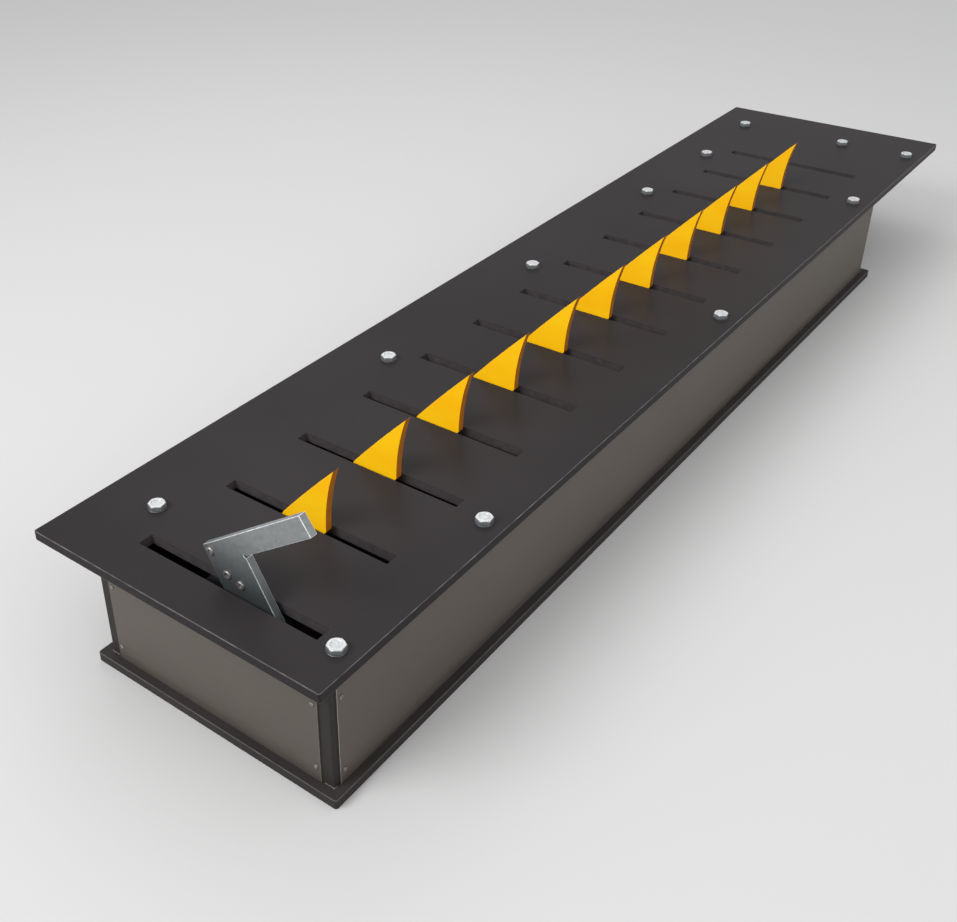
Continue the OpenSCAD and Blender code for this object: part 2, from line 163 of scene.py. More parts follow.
def mixed(tree, factor, first, second, y=0):
    n = addNode(tree, "ShaderNodeMix", -450, y, data_type="RGBA")
    for socket, value in ((n.inputs[mixFirst], first), (n.inputs[mixSecond], second)):
        if isinstance(value, tuple):
            socket.default_value = (*value, 1)
        else:
            tree.links.new(value, socket)
    if isinstance(factor, float):
        n.inputs[mixFactor].default_value = factor
    else:
        tree.links.new(factor, n.inputs[mixFactor])
    return n.outputs[mixResult]


def partsOf(tree, vector, x=-1000, y=-500):
    n = addNode(tree, "ShaderNodeSeparateXYZ", x, y)
    tree.links.new(vector, n.inputs["Vector"])
    return n.outputs


def roughFrom(tree, shader, value, span, low=noiseLow, high=noiseHigh):
    rough = spread(tree, value, low, high, span[0], span[1], -200)
    tree.links.new(rough, shader.inputs["Roughness"])


def bumpFrom(tree, shader, height, strength, distance, y=-400):
    n = addNode(tree, "ShaderNodeBump", -250, y)
    n.inputs["Strength"].default_value = strength
    n.inputs["Distance"].default_value = distance
    tree.links.new(height, n.inputs["Height"])
    tree.links.new(n.outputs["Normal"], shader.inputs["Normal"])


# colours are written as display values from 0 to 255
def linearOne(value):
    share = value / 255
    return ((share + 0.055) / 1.055) ** 2.4 if value > 10.3 else share / 12.92


def linear(*rgb):
    return tuple(linearOne(c) for c in rgb)


# satin paint: soft clouds in tone and gloss, fine grain
def paintFinish(name, v):
    m, tree, shader = newMaterial(name)
    at = stretched(tree)
    cloud = noiseOf(tree, at, v["cloudScale"], cloudNoise, 300)
    grain = noiseOf(tree, at, v["grainScale"], grainNoise, -300)
    share = spread(tree, cloud, noiseLow, noiseHigh, 0, 1, 300)
    tree.links.new(mixed(tree, share, v["dark"], v["light"], 300), shader.inputs["Base Color"])
    roughFrom(tree, shader, cloud, v["rough"])
    shader.inputs["Specular IOR Level"].default_value = v["specular"]
    bumpFrom(tree, shader, grain, v["grain"], paintRelief)
    return m


paintLooks = {
    "deckPaint": {
        "dark": linear(42, 39, 40), "light": linear(49, 46, 47), "rough": (0.3, 0.38),
        "specular": 0.033, "cloudScale": 2.2, "grainScale": 420.0, "grain": 0.12},
    "deckArris": {
        "dark": linear(60, 57, 58), "light": linear(108, 105, 106), "rough": (0.35, 0.5),
        "specular": 0.2, "cloudScale": 42.0, "grainScale": 500.0, "grain": 0.2},
    # slot walls are lighter than the deck face: painted light that lifts the shade inside the
    # slots
    "slotWall": {
        "dark": linear(60, 56, 57), "light": linear(70, 66, 67), "rough": (0.5, 0.6),
        "specular": 0.1, "cloudScale": 60.0, "grainScale": 300.0, "grain": 0.3},
    "framePaint": {
        "dark": linear(46, 43, 43), "light": linear(54, 50, 50), "rough": (0.45, 0.55),
        "specular": 0.08, "cloudScale": 5.0, "grainScale": 420.0, "grain": 0.12},
    "frameArris": {
        "dark": linear(62, 60, 61), "light": linear(88, 85, 86), "rough": (0.35, 0.5),
        "specular": 0.2, "cloudScale": 30.0, "grainScale": 500.0, "grain": 0.2},
    "weldPaint": {
        "dark": linear(50, 47, 47), "light": linear(80, 76, 75), "rough": (0.3, 0.4),
        "specular": 0.4, "cloudScale": 180.0, "grainScale": 600.0, "grain": 0.3},
    "bufferRubber": {
        "dark": linear(18, 18, 18), "light": linear(30, 30, 30), "rough": (0.75, 0.88),
        "specular": 0.5, "cloudScale": 30.0, "grainScale": 600.0, "grain": 0.35},
}


# brushed or plated metal: streaks, with duller patches
def metalFinish(name, v):
    m, tree, shader = newMaterial(name)
    at = stretched(tree, v.get("stretch", evenly))
    streak = noiseOf(tree, at, v["streakScale"], streakNoise, 0)
    cloud = noiseOf(tree, stretched(tree), v["cloudScale"], cloudNoise, 400)
    share = spread(tree, streak, noiseLow, noiseHigh, 0, 1, 0)
    tone = mixed(tree, share, v["dark"], v["light"], 0)
    patches = spread(tree, cloud, patchLow, noiseHigh, 0, v["cloudiness"], 400)
    tone = mixed(tree, patches, tone, v["dark"], 250)
    tree.links.new(tone, shader.inputs["Base Color"])
    roughFrom(tree, shader, streak, v["rough"])
    shader.inputs["Metallic"].default_value = v["metal"]
    bumpFrom(tree, shader, streak, v["grain"], metalRelief)
    return m


metalLooks = {
    "panelSheet": {
        "dark": linear(90, 83, 77), "light": linear(105, 98, 91), "rough": (0.44, 0.56),
        "metal": 0.5, "stretch": (0.6, 0.6, 22), "streakScale": 24.0, "cloudScale": 3.0,
        "cloudiness": 0.4, "grain": 0.08},
    # the panels' edge faces and arrises are lighter than the sheet: a painted highlight
    "panelEdge": {
        "dark": linear(168, 162, 155), "light": linear(212, 208, 202), "rough": (0.35, 0.45),
        "metal": 0.35, "streakScale": 60.0, "cloudScale": 8.0, "cloudiness": 0.4,
        "grain": 0.05},
    "zincPlate": {
        "dark": linear(206, 209, 212), "light": linear(236, 238, 240), "rough": (0.24, 0.32),
        "metal": 0.92, "streakScale": 220.0, "cloudScale": 60.0, "cloudiness": 0.2,
        "grain": 0.02},
    "zincDull": {
        "dark": linear(108, 107, 105), "light": linear(172, 170, 167), "rough": (0.34, 0.44),
        "metal": 0.8, "streakScale": 260.0, "cloudScale": 90.0, "cloudiness": 0.5,
        "grain": 0.05},
    "washerZinc": {
        "dark": linear(72, 74, 76), "light": linear(112, 114, 116), "rough": (0.4, 0.5),
        "metal": 0.7, "streakScale": 260.0, "cloudScale": 90.0, "cloudiness": 0.5,
        "grain": 0.05},
    "bareSteel": {
        "dark": linear(110, 110, 114), "light": linear(150, 150, 154), "rough": (0.3, 0.45),
        "metal": 0.9, "stretch": (14, 1, 1), "streakScale": 20.0, "cloudScale": 8.0,
        "cloudiness": 0.4, "grain": 0.1},
    "bearingBronze": {
        "dark": linear(150, 108, 56), "light": linear(196, 150, 88), "rough": (0.3, 0.42),
        "metal": 0.9, "streakScale": 60.0, "cloudScale": 20.0, "cloudiness": 0.4,
        "grain": 0.08},
}


# galvanised zinc: faint spangle, with painted shade below a height
def spangledFinish(name, v):
    m, tree, shader = newMaterial(name)
    at = stretched(tree)
    cells = addNode(tree, "ShaderNodeTexVoronoi", -950, 200)
    cells.inputs["Scale"].default_value = v["cellScale"]
    tree.links.new(at, cells.inputs["Vector"])
    bright = addNode(tree, "ShaderNodeSeparateColor", -800, 200)
    tree.links.new(cells.outputs["Color"], bright.inputs["Color"])
    soft = noiseOf(tree, at, v["cloudScale"], mottleNoise, -100)
    blend = mixed(tree, v["softness"], bright.outputs["Red"], soft, 100)
    share = spread(tree, blend, spangleLow, spangleHigh, 0, 1, 300)
    tone = mixed(tree, share, v["dark"], v["light"], 300)
    # below a height the tone turns to the foot colour: painted shade
    height = partsOf(tree, at)["Z"]
    low = spread(tree, height, v["fadeFrom"], v["fadeTo"], v["fadeShare"], 0, -500)
    tone = mixed(tree, low, tone, v["foot"], 500)
    tree.links.new(tone, shader.inputs["Base Color"])
    roughFrom(tree, shader, blend, v["rough"], spangleLow, spangleHigh)
    shader.inputs["Metallic"].default_value = v["metal"]
    bumpFrom(tree, shader, soft, v["grain"], metalRelief)
    return m


spangledLooks = {
    # foot: painted shade on the bolt sides and dish, and on the lever's lower part near its slot
    "boltZinc": {
        "dark": linear(168, 171, 173), "light": linear(208, 210, 211),
        "foot": linear(104, 108, 110), "fadeFrom": boltTop - 0.0030,
        "fadeTo": boltTop - 0.0004, "fadeShare": 0.85, "rough": (0.34, 0.46),
        "metal": 0.32, "softness": 0.6, "cellScale": 420.0, "cloudScale": 240.0,
        "grain": 0.12},
    "leverZinc": {
        "dark": linear(129, 132, 133), "light": linear(151, 154, 155),
        "foot": linear(76, 81, 82), "fadeFrom": 0.295, "fadeTo": 0.415, "fadeShare": 1.0,
        "rough": (0.4, 0.5), "metal": 0.6, "softness": 0.7, "cellScale": 150.0, "cloudScale": 18.0,
        "grain": 0.08},
    # the lever's edge faces are lighter than its broad faces: a painted highlight
    "leverEdge": {
        "dark": linear(188, 192, 197), "light": linear(242, 244, 247),
        "foot": linear(84, 88, 91), "fadeFrom": 0.31, "fadeTo": 0.43, "fadeShare": 0.62,
        "rough": (0.34, 0.46), "metal": 0.4, "softness": 0.4, "cellScale": 210.0,
        "cloudScale": 70.0, "grain": 0.35},
}


# spike paint is darker on the cut edges than on the broad sides: a painted shade, picked by the
# way each face points
def spikeFinish(name, v):
    m, tree, shader = newMaterial(name)
    at = stretched(tree, v["stretch"])
    cloud = noiseOf(tree, at, v["cloudScale"], cloudNoise, 300)
    share = spread(tree, cloud, patchLow, noiseHigh, 0, 1, 300)
    face = mixed(tree, share, v["face"], v["faceLight"], 300)
    burr = noiseOf(tree, at, v["burrScale"], burrNoise, 0)
    share = spread(tree, burr, noiseLow, noiseHigh, 0, 1, 0)
    # the cut edges' colour is painted shade
    edge = mixed(tree, share, v["edge"], v["shadedEdgeLight"], 0)
    normal = addNode(tree, "ShaderNodeNewGeometry", -1400, -500)
    across = partsOf(tree, normal.outputs["Normal"], -1200)["X"]
    size = addNode(tree, "ShaderNodeMath", -1000, -500, operation="ABSOLUTE")
    tree.links.new(across, size.inputs[0])
    onFace = spread(tree, size.outputs["Value"], v["edgeUpTo"], v["faceFrom"], 0, 1, -500)
    tree.links.new(mixed(tree, onFace, edge, face, 100), shader.inputs["Base Color"])
    roughFrom(tree, shader, cloud, v["rough"])
    grain = noiseOf(tree, at, v["grainScale"], grainNoise, -700)
    bumpFrom(tree, shader, grain, v["grain"], metalRelief)
    return m


spikeLooks = {
    "spikePaint": {
        "face": linear(255, 189, 4), "faceLight": linear(255, 201, 8),
        # edge colours: painted shade on the cut edges
        "edge": linear(166, 94, 22), "shadedEdgeLight": linear(196, 118, 26),
        "edgeUpTo": 0.35, "faceFrom": 0.75, "rough": (0.34, 0.42), "stretch": (1, 0.35, 1),
        "cloudScale": 16.0, "burrScale": 90.0, "grainScale": 260.0, "grain": 0.06},
}


finishes = {}
for make, looks in ((paintFinish, paintLooks), (metalFinish, metalLooks),
                    (spangledFinish, spangledLooks), (spikeFinish, spikeLooks)):
    for name, look in looks.items():
        finishes[name] = make(name, look)
finishOfSlot = {
    "deck": "deckPaint", "frame_paint": "framePaint", "panel_steel": "panelSheet",
    "zinc": "zincPlate", "galvanised": "leverZinc", "bare_steel": "bareSteel",
    "bronze": "bearingBronze", "buffer_rubber": "bufferRubber", "spike_yellow": "spikePaint",
}
slotOfNode = {s["node"]: s["material_slot"] for s in frame["record"]["subparts"]}
for name, ob in nodes.items():
    ob.data.materials.clear()
    ob.data.materials.append(finishes[finishOfSlot[slotOfNode[name]]])
print("finishes made", len(finishes))


# plates get their arrises broken, and the arris has a finish of its own: rubbed paint on the deck
# and base, a painted highlight on the panels and the lever, and the spikes' own paint
faceSlot, arrisSlot, wallSlot = 0, 1, 2
arrises = {
    "deckWidth": 0.0012,
    "rimWidth": 0.020,
    "baseWidth": 0.0012,
    "panelWidth": 0.0005,
    "spikeWidth": 0.0007,
    "leverWidth": 0.0010,
    "mergeAngle": 0.5,
    "bevelAngle": 35,
    "smoothAngle": 20,
    "edgeNormal": 0.5,
    "wallNormal": 0.3,
    "sideNormal": 0.9999,
    "manySides": 8,
    "normalDigits": 2,
    "levelDigits": 5,
}


def link(name, mesh):
    ob = bpy.data.objects.new(name, mesh)
    bpy.context.scene.collection.objects.link(ob)
    return ob


def bodyOf(node):
    return nodes[node]["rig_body"]


# a flat with many corners is filled again with well-shaped triangles
def refillFlats(bm):
    flats = {}
    for f in bm.faces:
        if len(f.verts) > arrises["manySides"]:
            facing = [round(part, arrises["normalDigits"]) for part in f.normal]
            level = round(f.normal.dot(f.verts[0].co), arrises["levelDigits"])
            key = (*facing, level, f.material_index)
            flats.setdefault(key, []).append(f)
    for key, faces in flats.items():
        inside = set(faces)
        edges = list(dict.fromkeys(e for f in faces for e in f.edges))
        rim = [e for e in edges if sum(g in inside for g in e.link_faces) == 1]
        seams = [e for e in edges if sum(g in inside for g in e.link_faces) > 1]
        bmesh.ops.delete(bm, geom=faces, context="FACES_ONLY")
        bmesh.ops.delete(bm, geom=seams, context="EDGES")
        facing = Vector(key[:3])
        made = bmesh.ops.triangle_fill(bm, use_beauty=True, edges=rim, normal=facing)
        for f in made["geom"]:
            if isinstance(f, bmesh.types.BMFace):
                f.material_index = key[4]
                f.normal_update()
                if f.normal.dot(facing) < 0:
                    f.normal_flip()


# thin: axis through the plate, whose edges take the arris finish
# rim and wall: a band along the outline keeps the arris finish, and holes inside it get the wall
def brokenEdges(node, width, face, arris, steps=2, thin=None, flat=True, rim=None, wall=None):
    mesh = nodes[node].data.copy()
    mesh.name = node + "Shape"
    bm = bmesh.new()
    bm.from_mesh(mesh)
    bmesh.ops.remove_doubles(bm, verts=bm.verts, dist=mergeDistance)
    bmesh.ops.dissolve_limit(bm, angle_limit=math.radians(arrises["mergeAngle"]),
                             verts=bm.verts, edges=bm.edges)
    for f in bm.faces:
        onEdge = thin is not None and abs(f.normal[thin]) < arrises["edgeNormal"]
        f.material_index = arrisSlot if onEdge else faceSlot
    bm.to_mesh(mesh)
    bm.free()
    mesh.materials.clear()
    for finish in (face, arris, wall):
        if finish:
            mesh.materials.append(finishes[finish])
    ob = link(node + "Dressed", mesh)
    bevel = ob.modifiers.new("arris", "BEVEL")
    bevel.width = width
    bevel.segments = steps
    bevel.limit_method = "ANGLE"
    bevel.angle_limit = math.radians(arrises["bevelAngle"])
    bevel.material = arrisSlot
    bevel.use_clamp_overlap = False
    shaped = ob.evaluated_get(bpy.context.evaluated_depsgraph_get())
    done = bpy.data.meshes.new_from_object(shaped)
    ob.modifiers.clear()
    ob.data = done
    bm = bmesh.new()
    bm.from_mesh(done)
    refillFlats(bm)
    if rim is not None:
        low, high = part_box(node)
        for f in bm.faces:
            c = f.calc_center_median()
            if min(c.x - low.x, high.x - c.x, c.y - low.y, high.y - c.y) > rim:
                onWall = wall and abs(f.normal.z) < arrises["wallNormal"]
                f.material_index = wallSlot if onWall else faceSlot
    bm.to_mesh(done)
    bm.free()
    if flat:
        done.shade_flat()
    else:
        done.shade_smooth()
        done.set_sharp_from_angle(angle=math.radians(arrises["smoothAngle"]))
        for side in done.polygons:
            side.use_smooth = abs(side.normal.x) < arrises["sideNormal"]
    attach(ob, bodyOf(node))
    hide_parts(node)


# the slot walls take painted light
brokenEdges("deck_plate", arrises["deckWidth"], "deckPaint", "deckArris",
            rim=arrises["rimWidth"], wall="slotWall")
brokenEdges("base_plate", arrises["baseWidth"], "framePaint", "frameArris")
# panel edges take a painted highlight
for node, thin in (("near_panel", 0), ("far_panel", 0),
                   ("tip_side_panel", 1), ("back_side_panel", 1)):
    brokenEdges(node, arrises["panelWidth"], "panelSheet", "panelEdge", steps=1, thin=thin)
for node in sorted(nodes):
    if node.startswith("spike_") and node != "spike_sleeves":
        brokenEdges(node, arrises["spikeWidth"], "spikePaint", "spikePaint", flat=False)
# the lever's edges take a painted highlight
brokenEdges("lever_plate", arrises["leverWidth"], "leverZinc", "leverEdge", thin=0, flat=False)
print("arrises broken")


# rings of points, joined into turned and hexagonal shapes; no corner reaches the uncut limit
roundSides = 48
smoothAngle = 28
uncut = 1.0


def ringOf(bm, radius, z, count=roundSides):
    step = 2 * math.pi / count
    return [bm.verts.new((radius * math.cos(step * i), radius * math.sin(step * i), z))
            for i in range(count)]


# a hexagon by its half width over the flats, with the corners cut to a limit
def hexRing(bm, flat, limit, z, count=roundSides):
    found = []
    for i in range(count):
        a = 2 * math.pi * i / count
        fromFlat = math.radians((math.degrees(a) + 30) % 60 - 30)
        r = min(flat / math.cos(fromFlat), limit)
        found.append(bm.verts.new((r * math.cos(a), r * math.sin(a), z)))
    return found


def skin(bm, low, high):
    n = len(low)
    for i in range(n):
        bm.faces.new((low[i], low[(i + 1) % n], high[(i + 1) % n], high[i]))


def lathe(bm, rings, openEnds=False):
    for low, high in zip(rings, rings[1:]):
        skin(bm, low, high)
    if openEnds:
        skin(bm, rings[-1], rings[0])
    else:
        bm.faces.new(rings[-1])
        bm.faces.new(list(reversed(rings[0])))


def finished(bm, name, angle=smoothAngle):
    bmesh.ops.recalc_face_normals(bm, faces=bm.faces)
    mesh = bpy.data.meshes.new(name)
    bm.to_mesh(mesh)
    bm.free()
    mesh.shade_smooth()
    mesh.set_sharp_from_angle(angle=math.radians(angle))
    return mesh


# deck bolts: chamfered hexagon head, dished top and shank, over a round washer
# crown: depth as a share of the chamfer, and the limit as a share of half the flats
# bowl: radius as a share of the dish, and the rise as a share of its depth
deckBoltLook = {
    "flats": 0.030,
    "height": 0.010,
    "shank": 0.010,
    "tailChamfer": 0.0012,
    "collar": 0.0006,
    "collarShare": 0.97,
    "collarStep": 0.0001,
    "chamfer": 0.0014,
    "crown": ((1.1, 2.0), (0.55, 1.08), (0.1, 1.0)),
    "crownRim": 0.93,
    "dish": 0.0106,
    "dishDepth": 0.0010,
    "dishWall": 0.0012,
    "bowl": ((0.55, 0.25), (0.2, 0.4)),
    "turned": 34.0,
    "spread": 0.16,
    "seed": 7,
    "washerRadius": 0.0176,
    "washerHole": 0.011,
    "washerChamfer": (0.0006, 0.0005),
}


def deckBoltMesh(v, washer, tail):
    bm = bmesh.new()
    flat = v["flats"] / 2
    neck = flat * v["collarShare"]
    top = washer + v["height"]
    low = top - v["dishDepth"]
    rings = [ringOf(bm, v["shank"] - v["tailChamfer"], -tail),
             ringOf(bm, v["shank"], v["tailChamfer"] - tail),
             ringOf(bm, v["shank"], washer),
             ringOf(bm, neck, washer),
             ringOf(bm, neck, washer + v["collar"]),
             hexRing(bm, flat, uncut, washer + v["collar"] + v["collarStep"])]
    for depth, limit in v["crown"]:
        rings.append(hexRing(bm, flat, flat * limit, top - v["chamfer"] * depth))
    rings += [ringOf(bm, flat * v["crownRim"], top),
              ringOf(bm, v["dish"], top),
              ringOf(bm, v["dish"] - v["dishWall"], low)]
    for share, rise in v["bowl"]:
        rings.append(ringOf(bm, v["dish"] * share, low + v["dishDepth"] * rise))
    lathe(bm, rings)
    turn = Matrix.Rotation(math.radians(v["turned"]), 3, "Z")
    bmesh.ops.rotate(bm, verts=bm.verts, matrix=turn)
    return finished(bm, "deckBolt")


def washerMesh(v, thick):
    bm = bmesh.new()
    r = v["washerRadius"]
    hole = v["washerHole"]
    inward, down = v["washerChamfer"]
    outline = ((r, 0), (r, thick - down), (r - inward, thick), (hole, thick), (hole, 0))
    lathe(bm, [ringOf(bm, radius, z) for radius, z in outline], True)
    return finished(bm, "deckWasher")


# a set of points, each with the way it faces, and a shape put on each of them
def pointCloud(name, places, facings):
    mesh = bpy.data.meshes.new(name)
    mesh.from_pydata([tuple(p) for p in places], [], [])
    facing = mesh.attributes.new("facing", "FLOAT_VECTOR", "POINT")
    for i, f in enumerate(facings):
        facing.data[i].vector = f
    return link(name, mesh)


def scatterTree(name):
    t = bpy.data.node_groups.new(name, "GeometryNodeTree")
    face = t.interface
    for socket, kind in (("Geometry", "Geometry"), ("Shape", "Object"), ("Size", "Float"),
                         ("Turn", "Float"), ("Seed", "Int"), ("Finish", "Material")):
        face.new_socket(socket, in_out="INPUT", socket_type="NodeSocket" + kind)
    face.new_socket("Geometry", in_out="OUTPUT", socket_type="NodeSocketGeometry")
    start = addNode(t, "NodeGroupInput", -900, 0)
    end = addNode(t, "NodeGroupOutput", 900, 0)
    info = addNode(t, "GeometryNodeObjectInfo", -600, -200)
    facing = addNode(t, "GeometryNodeInputNamedAttribute", -600, 300, data_type="FLOAT_VECTOR")
    facing.inputs["Name"].default_value = "facing"
    align = addNode(t, "FunctionNodeAlignRotationToVector", -350, 300, axis="Z")
    turn = addNode(t, "FunctionNodeRandomValue", -350, -400, data_type="FLOAT")
    euler = addNode(t, "ShaderNodeCombineXYZ", -150, -400)
    spin = addNode(t, "FunctionNodeEulerToRotation", 0, -400)
    both = addNode(t, "FunctionNodeRotateRotation", 150, 200, rotation_space="LOCAL")
    place = addNode(t, "GeometryNodeInstanceOnPoints", 300, 0)
    real = addNode(t, "GeometryNodeRealizeInstances", 500, 0)
    paint = addNode(t, "GeometryNodeSetMaterial", 700, 0)
    wire = t.links.new
    wire(start.outputs["Shape"], info.inputs["Object"])
    wire(facing.outputs["Attribute"], align.inputs["Vector"])
    wire(start.outputs["Turn"], turn.inputs[randomMax])
    wire(start.outputs["Seed"], turn.inputs["Seed"])
    wire(turn.outputs[randomValue], euler.inputs["Z"])
    wire(euler.outputs["Vector"], spin.inputs["Euler"])
    wire(align.outputs["Rotation"], both.inputs["Rotation"])
    wire(spin.outputs["Rotation"], both.inputs["Rotate By"])
    wire(start.outputs["Geometry"], place.inputs["Points"])
    wire(info.outputs["Geometry"], place.inputs["Instance"])
    wire(both.outputs["Rotation"], place.inputs["Rotation"])
    wire(start.outputs["Size"], place.inputs["Scale"])
    wire(place.outputs["Instances"], real.inputs["Geometry"])
    wire(real.outputs["Geometry"], paint.inputs["Geometry"])
    wire(start.outputs["Finish"], paint.inputs["Material"])
    wire(paint.outputs["Geometry"], end.inputs["Geometry"])
    return t


scatter = scatterTree("putOnPoints")


def putOnPoints(name, places, facings, shape, finish, body, turn=0.0, seed=1, hides=()):
    ob = pointCloud(name, places, facings)
    source = link(name + "Source", shape)
    mod = ob.modifiers.new("points", "NODES")
    mod.node_group = scatter
    keys = {s.name: s.identifier for s in scatter.interface.items_tree if s.in_out == "INPUT"}
    mod[keys["Shape"]] = source
    mod[keys["Size"]] = 1.0
    mod[keys["Turn"]] = float(turn)
    mod[keys["Seed"]] = seed
    mod[keys["Finish"]] = finishes[finish]
    ob.update_tag()
    shaped = ob.evaluated_get(bpy.context.evaluated_depsgraph_get())
    done = bpy.data.meshes.new_from_object(shaped)
    ob.modifiers.clear()
    ob.data = done
    bpy.data.objects.remove(source)
    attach(ob, body)
    if hides:
        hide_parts(*hides)


# low and high corner of each separate solid in a node
def solidBoxes(node):
    bm = bmesh.new()
    bm.from_mesh(nodes[node].data)
    bmesh.ops.remove_doubles(bm, verts=bm.verts, dist=mergeDistance)
    seen = set()
    found = []
    for v in bm.verts:
        if v in seen:
            continue
        stack = [v]
        group = []
        seen.add(v)
        while stack:
            w = stack.pop()
            group.append(w.co.copy())
            for e in w.link_edges:
                o = e.other_vert(w)
                if o not in seen:
                    seen.add(o)
                    stack.append(o)
        low = Vector([min(p[k] for p in group) for k in range(3)])
        high = Vector([max(p[k] for p in group) for k in range(3)])
        found.append((low, high))
    bm.free()
    return found


washers = solidBoxes("deck_washers")
washerHeight = washers[0][1].z - deckTop
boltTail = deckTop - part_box("deck_bolts")[0].z
boltSpots = [Vector(((a.x + b.x) / 2, (a.y + b.y) / 2, deckTop)) for a, b in washers]
boltFacings = [(0, 0, 1)] * len(boltSpots)
putOnPoints("deckBoltHeads", boltSpots, boltFacings,
            deckBoltMesh(deckBoltLook, washerHeight, boltTail), "boltZinc", "frame",
            turn=deckBoltLook["spread"], seed=deckBoltLook["seed"], hides=("deck_bolts",))
putOnPoints("deckWasherRings", boltSpots, boltFacings, washerMesh(deckBoltLook, washerHeight),
            "washerZinc", "frame", hides=("deck_washers",))
print("deck bolts", len(boltSpots))


# lever bolts: low round heads with a hexagon socket, and a nut behind the hub plate
# dome: radius and rise as shares of the head's radius and height
leverBoltLook = {
    "radius": 0.0088,
    "height": 0.0034,
    "dome": ((1.0, 0.0), (1.0, 0.3), (0.94, 0.66), (0.84, 0.92), (0.72, 1.0)),
    "socket": 0.0042,
    "socketFloor": 0.96,
    "socketDepth": 0.0030,
    "shank": 0.005,
    "shankEnd": 0.8,
    "nutFlats": 0.0154,
    "nutChamfer": 0.0008,
    "hubThick": 0.007,
    "spread": 1.0,
    "seed": 4,
}


def leverBoltMesh(v, grip, nut):
    bm = bmesh.new()
    flat = v["nutFlats"] / 2
    end = -grip - nut
    rings = [ringOf(bm, v["shank"] * v["shankEnd"], end),
             hexRing(bm, flat, flat, end),
             hexRing(bm, flat, uncut, v["nutChamfer"] + end),
             hexRing(bm, flat, uncut, -grip),
             ringOf(bm, v["shank"], -grip),
             ringOf(bm, v["shank"], 0)]
    for share, rise in v["dome"]:
        rings.append(ringOf(bm, v["radius"] * share, v["height"] * rise))
    rings += [hexRing(bm, v["socket"], uncut, v["height"]),
              hexRing(bm, v["socket"] * v["socketFloor"], uncut,
                      v["height"] - v["socketDepth"])]
    lathe(bm, rings)
    return finished(bm, "leverBolt")


leverFace, leverBack = (corner.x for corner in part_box("lever_plate"))
hubBack = leverBack + leverBoltLook["hubThick"]
leverBolts = solidBoxes("lever_bolts")
leverSpots = [Vector((leverFace, (a.y + b.y) / 2, (a.z + b.z) / 2)) for a, b in leverBolts]
leverBoltShape = leverBoltMesh(leverBoltLook, hubBack - leverFace, leverBolts[0][1].x - hubBack)
putOnPoints("leverBoltSet", leverSpots, [(-1, 0, 0)] * len(leverSpots), leverBoltShape,
            "zincDull", "pedal", turn=leverBoltLook["spread"],
            seed=leverBoltLook["seed"], hides=("lever_bolts",))
print("lever bolts", len(leverSpots))


# panel screws: low domed heads with a cross recess
# dome: radius and rise as shares of the head's radius and height
panelScrewLook = {
    "sides": 32,
    "radius": 0.0045,
    "height": 0.0025,
    "dome": ((1.0, 0.0), (1.0, 0.45), (0.93, 0.75), (0.75, 0.93), (0.5, 1.0)),
    "recess": 0.0011,
    "slot": 0.0009,
    "armReach": 0.42,
    "armTaper": 0.6,
    "recessFloor": 0.7,
    "smoothAngle": 35,
    "spread": 1.5,
    "seed": 3,
}


def screwMesh(v):
    bm = bmesh.new()
    sides = v["sides"]
    rings = [ringOf(bm, v["radius"] * share, v["height"] * rise, sides)
             for share, rise in v["dome"]]
    for low, high in zip(rings, rings[1:]):
        skin(bm, low, high)
    bm.faces.new(list(reversed(rings[0])))
    rim = rings[-1]
    reach = v["radius"] * v["armReach"]
    tip = v["slot"] * v["armTaper"]
    cross = []
    for q in range(4):
        a = q * math.pi / 2
        for along, side in ((v["slot"], -v["slot"]), (reach, -tip), (reach, tip)):
            x = along * math.cos(a) - side * math.sin(a)
            y = along * math.sin(a) + side * math.cos(a)
            cross.append((x, y))
    floor = v["recessFloor"]
    depth = v["height"] - v["recess"]
    upper = [bm.verts.new((x, y, v["height"])) for x, y in cross]
    lower = [bm.verts.new((x * floor, y * floor, depth)) for x, y in cross]
    skin(bm, list(reversed(upper)), list(reversed(lower)))
    bm.faces.new(lower)
    loop = []
    for ring in (upper, rim):
        loop += [bm.edges.get((ring[i - 1], ring[i])) for i in range(len(ring))]
    bmesh.ops.triangle_fill(bm, edges=loop, use_beauty=True)
    return finished(bm, "panelScrewHead", v["smoothAngle"])


screwSpots = []
screwFacings = []
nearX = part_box("near_panel")[0].x
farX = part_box("far_panel")[1].x
lengthLow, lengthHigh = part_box("tip_side_panel")
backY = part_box("back_side_panel")[1].y
for a, b in solidBoxes("panel_screws"):
    c = (a + b) / 2
    faces = (
        (abs(c.x - nearX), (-1, 0, 0), Vector((nearX, c.y, c.z))),
        (abs(c.x - farX), (1, 0, 0), Vector((farX, c.y, c.z))),
        (abs(c.y - lengthLow.y), (0, -1, 0), Vector((c.x, lengthLow.y, c.z))),
        (abs(c.y - backY), (0, 1, 0), Vector((c.x, backY, c.z))),
    )
    facing, spot = min(faces, key=lambda f: f[0])[1:]
    screwSpots.append(spot)
    screwFacings.append(facing)
putOnPoints("panelScrewHeads", screwSpots, screwFacings, screwMesh(panelScrewLook), "zincDull",
            "frame", turn=panelScrewLook["spread"], seed=panelScrewLook["seed"],
            hides=("panel_screws",))
print("panel screws", len(screwSpots))


# weld beads where the corner posts meet the base plate and the frame above
weldLook = {
    "radius": 0.0026,
    "squash": 0.6,
    "angles": (-75, -40, 0, 40, 75),
    "sides": 12,
    "smoothAngle": 80,
    "step": 0.0034,
    "start": 0.3,
    "clear": 0.004,
    "spread": 6.0,
    "seed": 11,
}


def beadMesh(v):
    bm = bmesh.new()
    r = v["radius"]
    angles = [math.radians(a) for a in v["angles"]]
    lathe(bm, [ringOf(bm, r * math.cos(a), r * v["squash"] * math.sin(a), v["sides"])
               for a in angles])
    return finished(bm, "weldBead", v["smoothAngle"])


def weldLine(corner, away, facing, length, v):
    count = int((length - v["clear"]) / v["step"])
    spots = [corner + away * (v["step"] * (i + v["start"])) for i in range(count)]
    return spots, [facing] * count


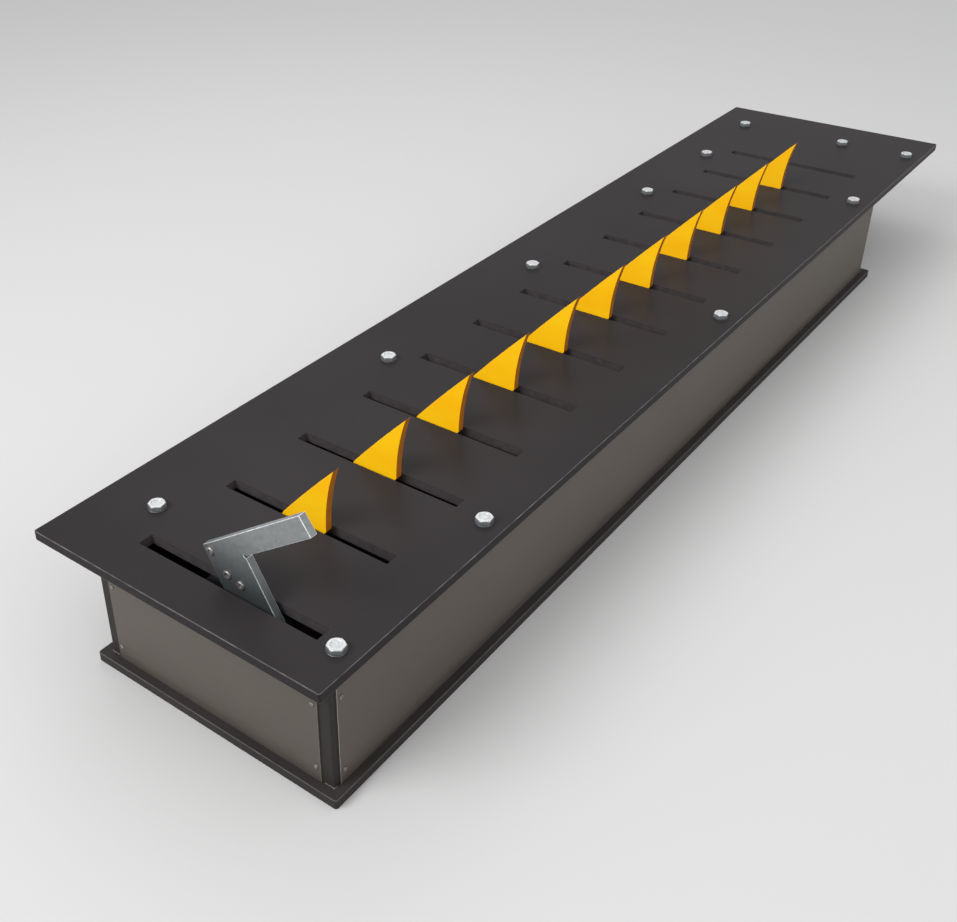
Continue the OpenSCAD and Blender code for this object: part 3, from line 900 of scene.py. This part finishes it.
beadSpots = []
beadFacings = []
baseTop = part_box("base_plate")[1].z
for end in ("near", "far"):
    panelLow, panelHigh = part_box(end + "_panel")
    for side, bare in (("tip", panelLow.y), ("back", panelHigh.y)):
        a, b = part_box("post_" + end + "_" + side)
        x = a.x if end == "near" else b.x
        y = a.y if side == "tip" else b.y
        inX = 1 if end == "near" else -1
        inY = 1 if side == "tip" else -1
        endBare = abs(bare - y)
        sideBare = abs((lengthLow.x if end == "near" else lengthHigh.x) - x)
        for z, lift in ((baseTop, 1), (b.z, 0)):
            corner = Vector((x, y, z))
            for away, out, length in (((0, inY, 0), (-inX, 0, lift), endBare),
                                      ((inX, 0, 0), (0, -inY, lift), sideBare)):
                facing = Vector(out).normalized()
                spots, facings = weldLine(corner, Vector(away), facing, length, weldLook)
                beadSpots += spots
                beadFacings += facings
putOnPoints("postWelds", beadSpots, beadFacings, beadMesh(weldLook), "weldPaint",
            "frame", turn=weldLook["spread"], seed=weldLook["seed"])
print("weld beads", len(beadSpots))


# pale floor, light that is dimmer near the horizon, and three soft panels
roomLook = {
    "floorSize": 60.0,
    "floor": (0.51, 0.51, 0.51),
    "floorRough": 0.8,
    "skyFrom": 0.22,
    "skyTo": 0.6,
    "skyLow": 0.46,
    "skyHigh": 1.04,
    "panels": {
        "keyPanel": {"place": (-5.4, 2.0, 4.4), "aim": (0, 0, 0.2), "size": (3.8, 2.8),
                     "power": 97.0, "fan": 96.0},
        "fillPanel": {"place": (-1.2, -3.6, 2.6), "aim": (-0.6, 0, 0.2), "size": (3.0, 2.0),
                      "power": 32.0, "fan": 180.0},
        "sheenPanel": {"place": (1.4, 2.1, 3.2), "aim": (-1.0, -0.2, deckTop),
                       "size": (2.4, 1.8), "power": 18.0, "fan": 180.0},
    },
}


def addFloor(v):
    mesh = bpy.data.meshes.new("floor")
    s = v["floorSize"] / 2
    mesh.from_pydata([(-s, -s, 0), (s, -s, 0), (s, s, 0), (-s, s, 0)], [], [(0, 1, 2, 3)])
    ob = link("floor", mesh)
    m, tree, shader = newMaterial("floorPaint")
    shader.inputs["Base Color"].default_value = (*v["floor"], 1)
    shader.inputs["Roughness"].default_value = v["floorRough"]
    mesh.materials.append(m)


def addWorld(v):
    w = bpy.data.worlds.new("studio")
    bpy.context.scene.world = w
    w.use_nodes = True
    tree = w.node_tree
    back = tree.nodes["Background"]
    back.inputs["Color"].default_value = (1, 1, 1, 1)
    coord = addNode(tree, "ShaderNodeTexCoord", -1200, 0)
    height = partsOf(tree, coord.outputs["Generated"], -1000, 0)["Z"]
    glow = spread(tree, height, v["skyFrom"], v["skyTo"], v["skyLow"], v["skyHigh"])
    tree.links.new(glow, back.inputs["Strength"])


def addPanelLight(name, v):
    lamp = bpy.data.lights.new(name, "AREA")
    lamp.shape = "RECTANGLE"
    lamp.size, lamp.size_y = v["size"]
    lamp.energy = v["power"]
    lamp.spread = math.radians(v["fan"])
    ob = bpy.data.objects.new(name, lamp)
    ob.location = v["place"]
    way = Vector(v["aim"]) - Vector(v["place"])
    ob.rotation_euler = way.to_track_quat("-Z", "Y").to_euler()
    bpy.context.scene.collection.objects.link(ob)


addFloor(roomLook)
addWorld(roomLook)
for name, panel in roomLook["panels"].items():
    addPanelLight(name, panel)
bpy.context.scene.view_settings.view_transform = "Standard"
print("floor and lights placed")
